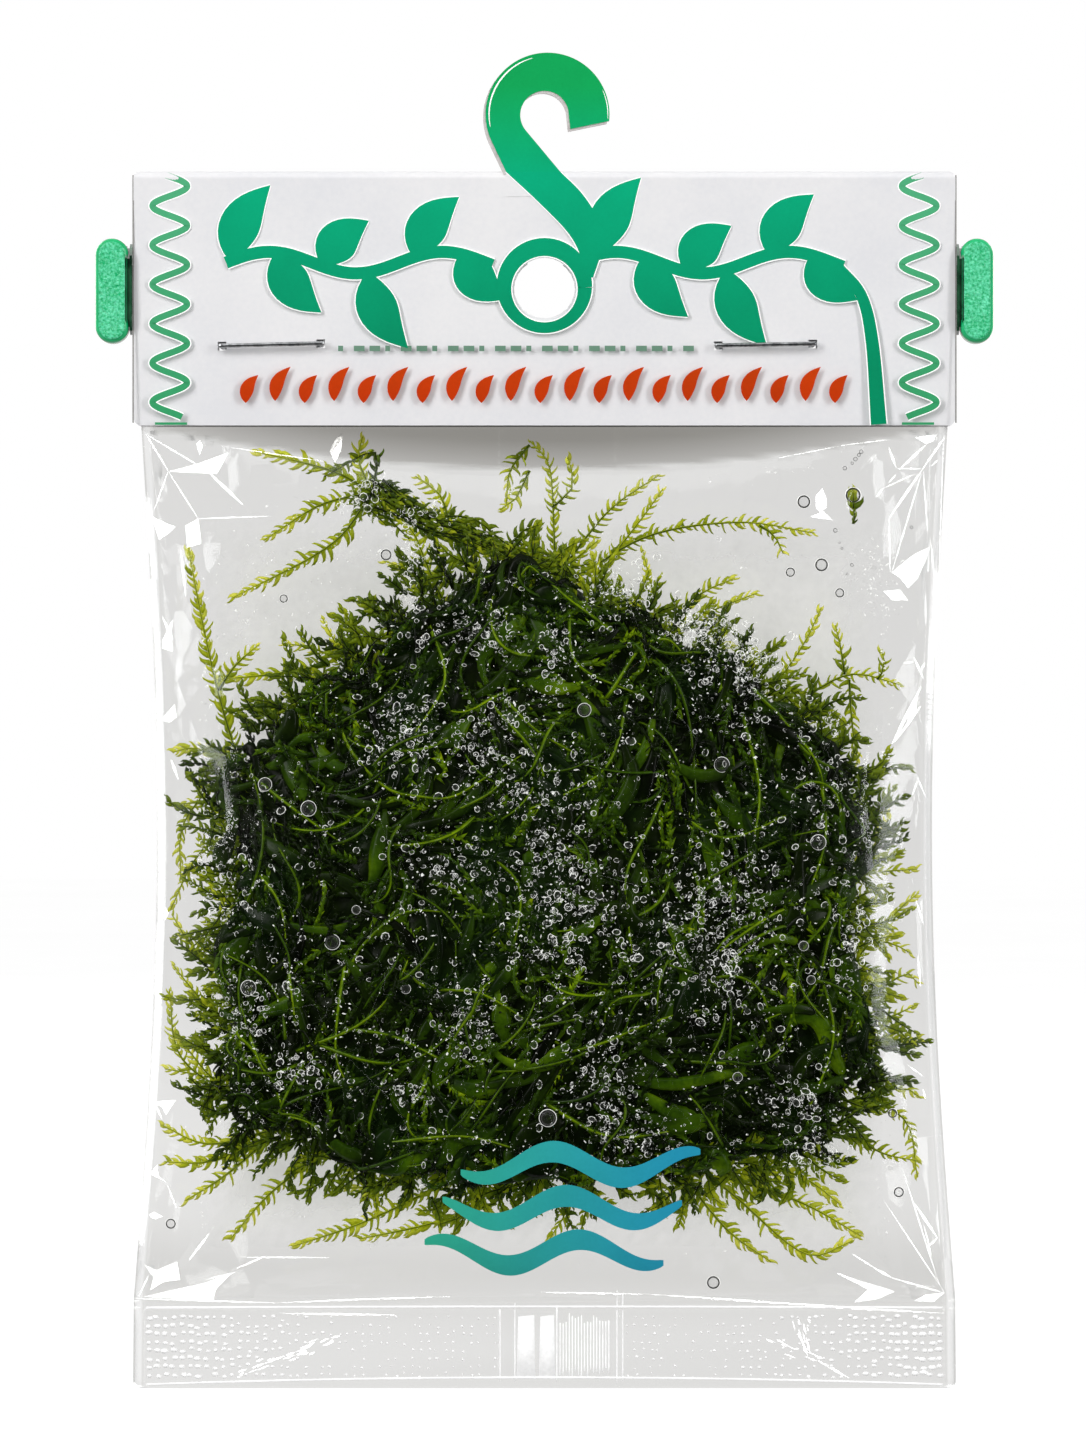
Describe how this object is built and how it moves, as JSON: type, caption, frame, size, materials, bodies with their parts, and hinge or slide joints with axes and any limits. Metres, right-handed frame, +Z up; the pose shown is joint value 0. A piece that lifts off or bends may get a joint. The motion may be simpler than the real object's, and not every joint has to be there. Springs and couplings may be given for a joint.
{
  "type": "flame moss in a clear hanging pouch",
  "caption": "Damp aquarium moss in a clear film pouch, stapled into a folded header card with a die-cut hook, a hang hole and a cross bar with end knobs.",
  "frame": {"origin": "inner crest of the card's hook, at the middle of the card's thickness, where a peg carries it", "axes": "+Z up along the hanging pouch, +Y to its back, +X to the right seen from the front"},
  "size_m": [0.1088, 0.021, 0.162],
  "materials": {
    "card": "satin",
    "bar": "gloss",
    "knob": "frosted",
    "steel": "satin",
    "film": "clear",
    "pad": "wet",
    "moss": "wet",
    "shoot": "wet"
  },
  "bodies": {
    "root": {"header_card": "card", "carrier_bar": "bar", "end_knob_left": "knob", "end_knob_right": "knob", "staple_left": "steel", "staple_right": "steel", "pouch": "film", "cotton_pad": "pad", "moss_mat": "moss", "moss_spray_top_left": "shoot", "moss_spray_left_upper": "shoot", "moss_spray_left_shoulder": "shoot", "moss_spray_top_tuft": "shoot", "moss_spray_top_middle": "shoot", "moss_spray_top_right": "shoot", "moss_spray_right_shoulder": "shoot", "moss_spray_right_curl": "shoot", "moss_spray_right_upper": "shoot", "moss_spray_right_middle": "shoot", "moss_spray_right_bend": "shoot", "moss_spray_right_lower": "shoot", "moss_spray_right_foot": "shoot", "moss_spray_bottom_right": "shoot", "moss_spray_bottom_tip": "shoot", "moss_spray_bottom_left": "shoot", "moss_spray_left_foot": "shoot", "moss_spray_left_lower": "shoot", "moss_spray_left_middle": "shoot", "moss_spray_left_bend": "shoot"}
  },
  "joints": []
}
